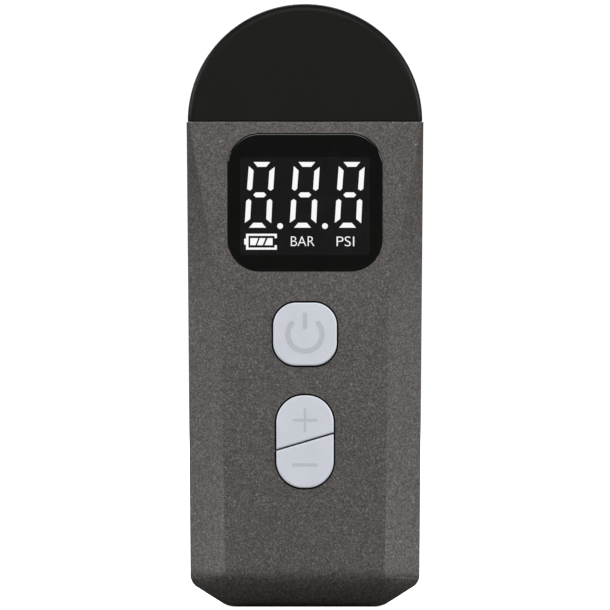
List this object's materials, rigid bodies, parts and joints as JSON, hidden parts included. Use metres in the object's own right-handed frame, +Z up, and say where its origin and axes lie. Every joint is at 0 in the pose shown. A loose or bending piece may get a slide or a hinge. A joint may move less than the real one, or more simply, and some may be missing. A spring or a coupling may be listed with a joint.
{
  "type": "handheld air pump",
  "caption": "Handheld rechargeable air pump with a rounded black head, faceted grey body, digital display, power key, split adjust keys, rear vents and a threaded brass air outlet.",
  "frame": {"origin": "centre of the base, on the surface it stands on", "axes": "+Z up to the rounded head, -Y the display side, +Y the air outlet side, X across the width"},
  "size_m": [0.054, 0.0396, 0.1375],
  "materials": {
    "shell_paint": "gunmetal metallic paint, satin",
    "head_gloss": "black, satin gloss",
    "collar_plastic": "matte black",
    "brass": "turned and knurled",
    "seal_rubber": "matte",
    "black_plastic": "matte",
    "window": "polished",
    "display_black": "matte",
    "key_plastic": "satin",
    "circuit_board": "solder mask",
    "white_plastic": "natural",
    "steel": "zinc plated",
    "cell_foil": "foil pouch",
    "motor_steel": "nickel plated",
    "magnet": "ferrite",
    "lamination": "stamped laminations",
    "copper": "enamelled copper",
    "frame_casting": "glass-filled, dark grey",
    "frame_alloy": "machined",
    "tube_silicone": "translucent",
    "display_segment": "lit, white",
    "key_icon": "pad printed, pale grey"
  },
  "bodies": {
    "housing": {"front_shell": "shell_paint", "rear_shell": "shell_paint", "head_cap": "head_gloss", "outlet_collar": "collar_plastic", "outlet_insert": "brass", "outlet_seal": "seal_rubber", "outlet_manifold": "black_plastic", "display_window": "window", "display_module": "display_black", "tact_switches": "black_plastic", "main_board": "circuit_board", "charging_board": "circuit_board", "board_screws": "steel", "charging_socket": "steel", "pressure_sensor": "white_plastic", "front_cell": "cell_foil", "rear_cell": "cell_foil", "battery_tray": "black_plastic", "battery_tabs": "steel", "motor_can": "motor_steel", "motor_end_cap": "black_plastic", "motor_magnets": "magnet", "motor_terminals": "brass", "motor_bushes": "brass", "motor_screws": "steel", "gearbox_frame": "frame_casting", "crank_bearings": "steel", "pump_cylinder": "frame_alloy", "valve_plate": "frame_alloy", "cylinder_head": "frame_alloy", "head_screws": "steel", "valve_spring": "steel", "delivery_tube": "tube_silicone", "frame_screws": "steel"},
    "power_key": {"power_button": "key_plastic", "power_plunger": "key_plastic"},
    "plus_key": {"plus_button": "key_plastic", "plus_plunger": "key_plastic"},
    "minus_key": {"minus_button": "key_plastic", "minus_plunger": "key_plastic"},
    "rotor": {"motor_shaft": "steel", "armature_core": "lamination", "armature_windings": "copper", "commutator": "copper", "drive_pinion": "brass"},
    "crank": {"crank_shaft": "steel", "crank_gear": "white_plastic", "crank_disc": "frame_alloy"},
    "piston_assembly": {"piston": "frame_alloy", "piston_ring": "seal_rubber", "inlet_reed": "steel", "wrist_pin": "steel"},
    "rod": {"connecting_rod": "frame_alloy", "crank_pin": "steel"},
    "check_valve": {"outlet_valve": "seal_rubber"}
  },
  "joints": [
    {"name": "power_press", "type": "slide", "parent": "housing", "child": "power_key", "axis": [0, 1, 0], "range_m": [0, 0.0005], "stiffness_N_per_m": 2500, "springref_m": -0.0002},
    {"name": "plus_press", "type": "slide", "parent": "housing", "child": "plus_key", "axis": [0, 1, 0], "range_m": [0, 0.0005], "stiffness_N_per_m": 2500, "springref_m": -0.0002},
    {"name": "minus_press", "type": "slide", "parent": "housing", "child": "minus_key", "axis": [0, 1, 0], "range_m": [0, 0.0005], "stiffness_N_per_m": 2500, "springref_m": -0.0002},
    {"name": "motor_spin", "type": "hinge", "parent": "housing", "child": "rotor", "pos_m": [-0.005, 0.001, 0.06], "axis": [0, 0, 1], "continuous": true},
    {"name": "crank_spin", "type": "hinge", "parent": "housing", "child": "crank", "pos_m": [0.006, 0.001, 0.08], "axis": [0, 0, 1], "continuous": true},
    {"name": "piston_stroke", "type": "slide", "parent": "housing", "child": "piston_assembly", "axis": [-1, 0, 0], "range_m": [0, 0.006]},
    {"name": "rod_swing", "type": "hinge", "parent": "piston_assembly", "child": "rod", "pos_m": [-0.004, 0.001, 0.0956], "axis": [0, 0, 1], "range_deg": [-13.3, 13.3]},
    {"name": "valve_lift", "type": "slide", "parent": "housing", "child": "check_valve", "axis": [-1, 0, 0], "range_m": [0, 0.0006], "stiffness_N_per_m": 300, "springref_m": -0.0003, "deforming": ["valve_spring"]}
  ],
  "couplings": [
    {"joint": "motor_spin", "follows": "crank_spin", "ratio": -3.4}
  ]
}
